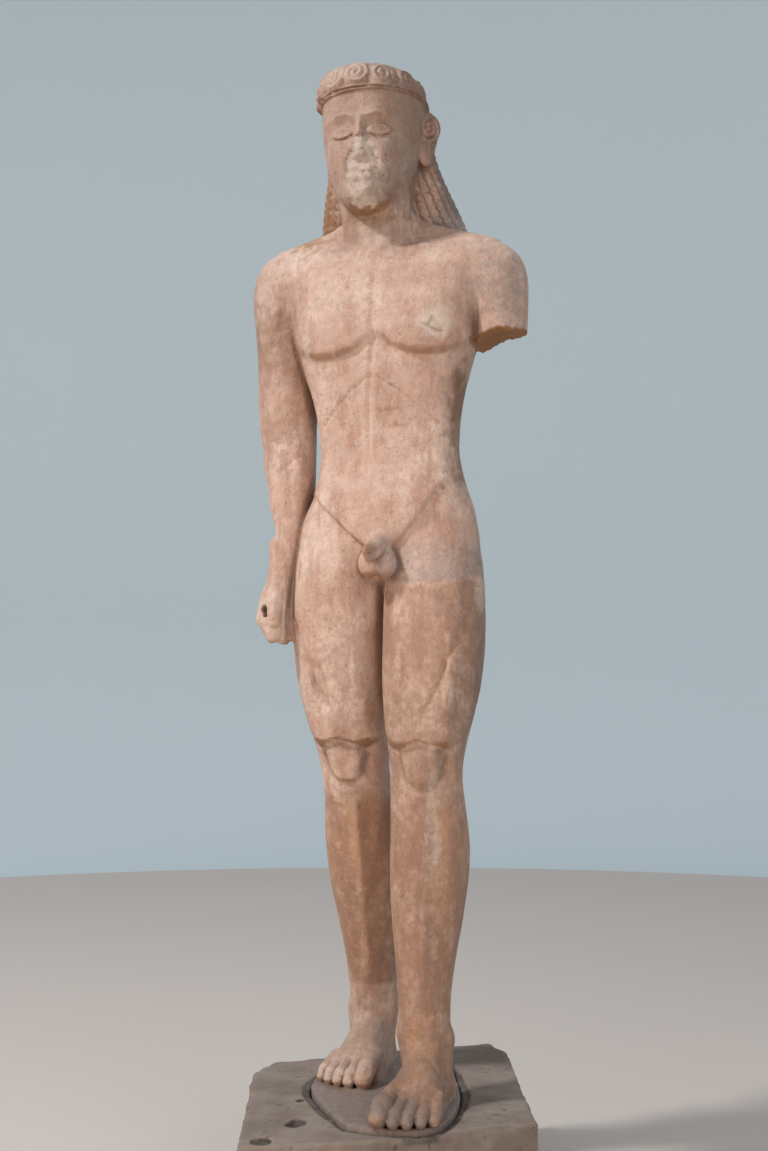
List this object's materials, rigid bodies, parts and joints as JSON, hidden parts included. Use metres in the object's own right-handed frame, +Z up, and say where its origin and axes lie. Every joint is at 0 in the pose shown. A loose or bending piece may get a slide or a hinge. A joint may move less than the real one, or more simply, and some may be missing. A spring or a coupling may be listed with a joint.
{
  "type": "kouros statue on a base block",
  "caption": "Over-life-size marble youth standing with one foot forward on a thin oval plinth let into a rough stone block, one arm broken off at the shoulder.",
  "frame": {"origin": "on the underside of the base block, below the middle of the figure's waist", "axes": "+Z up, -Y the way the figure faces, +X the figure's own left"},
  "size_m": [0.9411, 1.25, 3.312],
  "materials": {
    "marble": "weathered, warm pinkish-tan marble with paler worn patches and brown repairs",
    "block_stone": "rough, greyish brown"
  },
  "bodies": {
    "root": {"kouros_figure": "marble", "base_block": "block_stone"}
  },
  "joints": []
}
